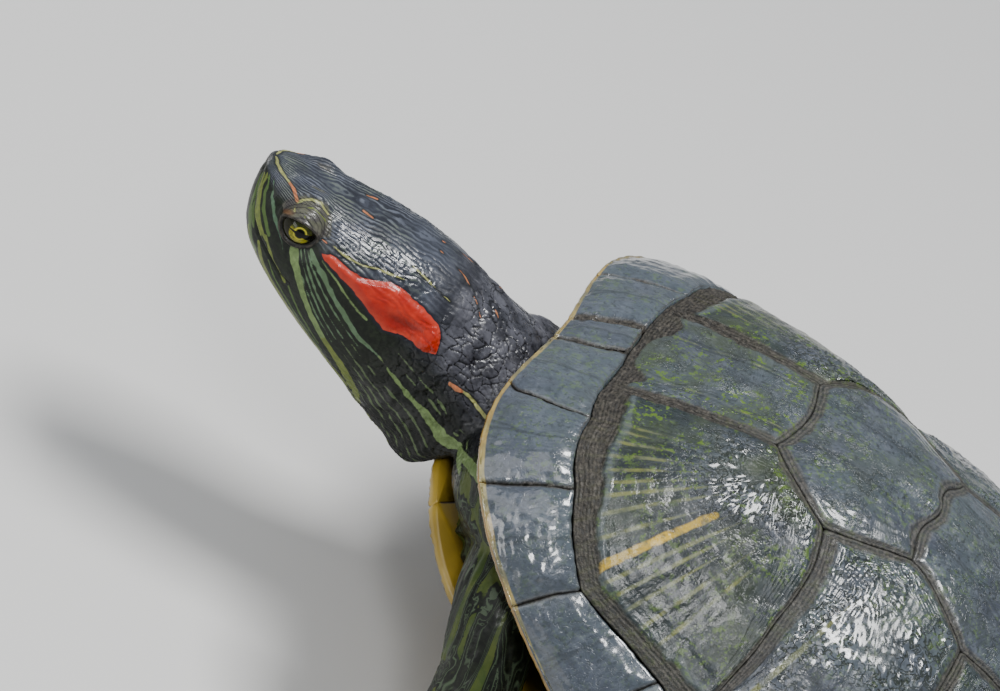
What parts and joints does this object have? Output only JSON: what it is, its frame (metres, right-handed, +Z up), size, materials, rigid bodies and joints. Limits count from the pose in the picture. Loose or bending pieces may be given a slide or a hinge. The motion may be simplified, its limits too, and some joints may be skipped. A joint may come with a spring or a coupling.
{
  "type": "red-eared slider turtle",
  "caption": "Life-size red-eared slider turtle standing on spread legs with its neck stretched out: low domed shell of separate scutes, striped skin and clawed feet.",
  "frame": {"origin": "on the floor under the middle of the animal's whole extent", "axes": "+X forward to the head, +Y to the turtle's left, +Z up"},
  "size_m": [0.2748, 0.2308, 0.1096],
  "materials": {
    "carapace": "wet keratin, slate grey-blue with brown growth bands and fine yellow lines",
    "plastron": "keratin, yellow-ochre with dark blotches",
    "skin": "wet scaly skin, blue-black with green and yellow stripes and a red stripe behind each eye",
    "eye": "wet, yellow-green iris with a dark bar through the round pupil",
    "claw": "dark horn, semi-gloss"
  },
  "bodies": {
    "root": {"nuchal_scute": "carapace", "vertebral_1": "carapace", "vertebral_2": "carapace", "vertebral_3": "carapace", "vertebral_4": "carapace", "vertebral_5": "carapace", "costal_left_1": "carapace", "costal_left_2": "carapace", "costal_left_3": "carapace", "costal_left_4": "carapace", "marginal_left_1": "carapace", "marginal_left_2": "carapace", "marginal_left_3": "carapace", "marginal_left_4": "carapace", "marginal_left_5": "carapace", "marginal_left_6": "carapace", "marginal_left_7": "carapace", "marginal_left_8": "carapace", "marginal_left_9": "carapace", "marginal_left_10": "carapace", "marginal_left_11": "carapace", "marginal_left_12": "carapace", "costal_right_1": "carapace", "costal_right_2": "carapace", "costal_right_3": "carapace", "costal_right_4": "carapace", "marginal_right_1": "carapace", "marginal_right_2": "carapace", "marginal_right_3": "carapace", "marginal_right_4": "carapace", "marginal_right_5": "carapace", "marginal_right_6": "carapace", "marginal_right_7": "carapace", "marginal_right_8": "carapace", "marginal_right_9": "carapace", "marginal_right_10": "carapace", "marginal_right_11": "carapace", "marginal_right_12": "carapace", "gular_left": "plastron", "gular_right": "plastron", "humeral_left": "plastron", "humeral_right": "plastron", "pectoral_left": "plastron", "pectoral_right": "plastron", "abdominal_left": "plastron", "abdominal_right": "plastron", "femoral_left": "plastron", "femoral_right": "plastron", "anal_left": "plastron", "anal_right": "plastron", "trunk": "skin", "head": "skin", "neck": "skin", "eye_left": "eye", "eye_right": "eye", "foreleg_left": "skin", "foreleg_right": "skin", "hindleg_left": "skin", "hindleg_right": "skin", "tail": "skin"}
  },
  "joints": []
}
